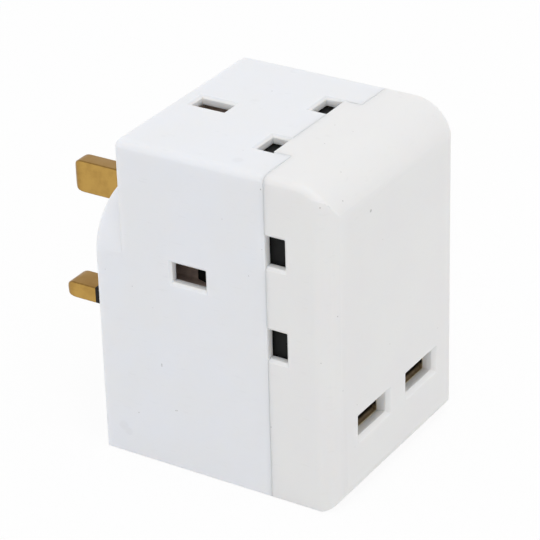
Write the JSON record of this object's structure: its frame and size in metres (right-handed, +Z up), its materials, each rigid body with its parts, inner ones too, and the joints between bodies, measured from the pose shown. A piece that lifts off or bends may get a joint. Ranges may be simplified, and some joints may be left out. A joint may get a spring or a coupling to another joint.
{
  "type": "plug adapter",
  "caption": "White cube mains adapter for three-pin sockets, with shuttered outlets on the left, right and top and USB outlets in the front.",
  "frame": {"origin": "middle of the flat base, half way along the body's depth without the boss", "axes": "+Z up, -Y the front with the USB outlets, +Y the back with the plug's pins"},
  "size_m": [0.0524, 0.0834, 0.078],
  "materials": {
    "rear_white": "satin moulded",
    "cover_white": "satin moulded",
    "carrier_white": "satin moulded",
    "inner_plastic": "moulded",
    "shutter_black": "moulded",
    "sleeve_black": "moulded",
    "pin_brass": "polished, dulled",
    "contact_brass": "stamped strip",
    "earth_tin": "tinned strip",
    "fuse_metal": "plated",
    "fuse_ceramic": "glazed",
    "shell_steel": "plated sheet",
    "tongue_plastic": "moulded",
    "contact_gold": "gold flashed",
    "board_green": "solder mask",
    "ferrite": "sintered",
    "winding_tape": "tape",
    "capacitor_can": "sleeved can",
    "chip_black": "moulded",
    "spring_steel": "drawn wire",
    "screw_steel": "zinc plated"
  },
  "bodies": {
    "adaptor": {"capacitors": "capacitor_can", "contact_carrier": "inner_plastic", "driver_chip": "chip_black", "earth_bus_bar": "earth_tin", "earth_pin": "pin_brass", "front_cover": "cover_white", "fuse_link": "contact_brass", "fuse_load_clip": "contact_brass", "fuse_supply_clip": "contact_brass", "housing_screws": "screw_steel", "left_earth_clip": "earth_tin", "left_live_clip": "contact_brass", "left_neutral_clip": "contact_brass", "left_shutter_spring": "spring_steel", "left_usb_contacts": "contact_gold", "left_usb_shell": "shell_steel", "left_usb_tongue": "tongue_plastic", "live_bus_bar": "contact_brass", "live_pin": "pin_brass", "live_pin_sleeve": "sleeve_black", "neutral_bus_bar": "contact_brass", "neutral_pin": "pin_brass", "neutral_pin_sleeve": "sleeve_black", "rear_housing": "rear_white", "right_earth_clip": "earth_tin", "right_live_clip": "contact_brass", "right_neutral_clip": "contact_brass", "right_shutter_spring": "spring_steel", "right_usb_contacts": "contact_gold", "right_usb_shell": "shell_steel", "right_usb_tongue": "tongue_plastic", "top_earth_clip": "earth_tin", "top_live_clip": "contact_brass", "top_neutral_clip": "contact_brass", "top_shutter_spring": "spring_steel", "transformer_core": "ferrite", "transformer_winding": "winding_tape", "usb_board": "board_green"},
    "fuse_carrier": {"fuse_carrier": "carrier_white", "fuse_body": "fuse_ceramic", "fuse_caps": "fuse_metal"},
    "left_shutter": {"left_shutter": "shutter_black"},
    "right_shutter": {"right_shutter": "shutter_black"},
    "top_shutter": {"top_shutter": "shutter_black"}
  },
  "joints": [
    {"name": "fuse_carrier_slide", "type": "slide", "parent": "adaptor", "child": "fuse_carrier", "axis": [0, 1, 0], "range_m": [0, 0.014]},
    {"name": "left_shutter_slide", "type": "slide", "parent": "adaptor", "child": "left_shutter", "axis": [0, -1, 0], "range_m": [0, 0.0058], "stiffness_N_per_m": 60, "springref_m": -0.003, "deforming": ["left_shutter_spring"]},
    {"name": "right_shutter_slide", "type": "slide", "parent": "adaptor", "child": "right_shutter", "axis": [0, -1, 0], "range_m": [0, 0.0058], "stiffness_N_per_m": 60, "springref_m": -0.003, "deforming": ["right_shutter_spring"]},
    {"name": "top_shutter_slide", "type": "slide", "parent": "adaptor", "child": "top_shutter", "axis": [0, -1, 0], "range_m": [0, 0.0058], "stiffness_N_per_m": 60, "springref_m": -0.003, "deforming": ["top_shutter_spring"]}
  ]
}
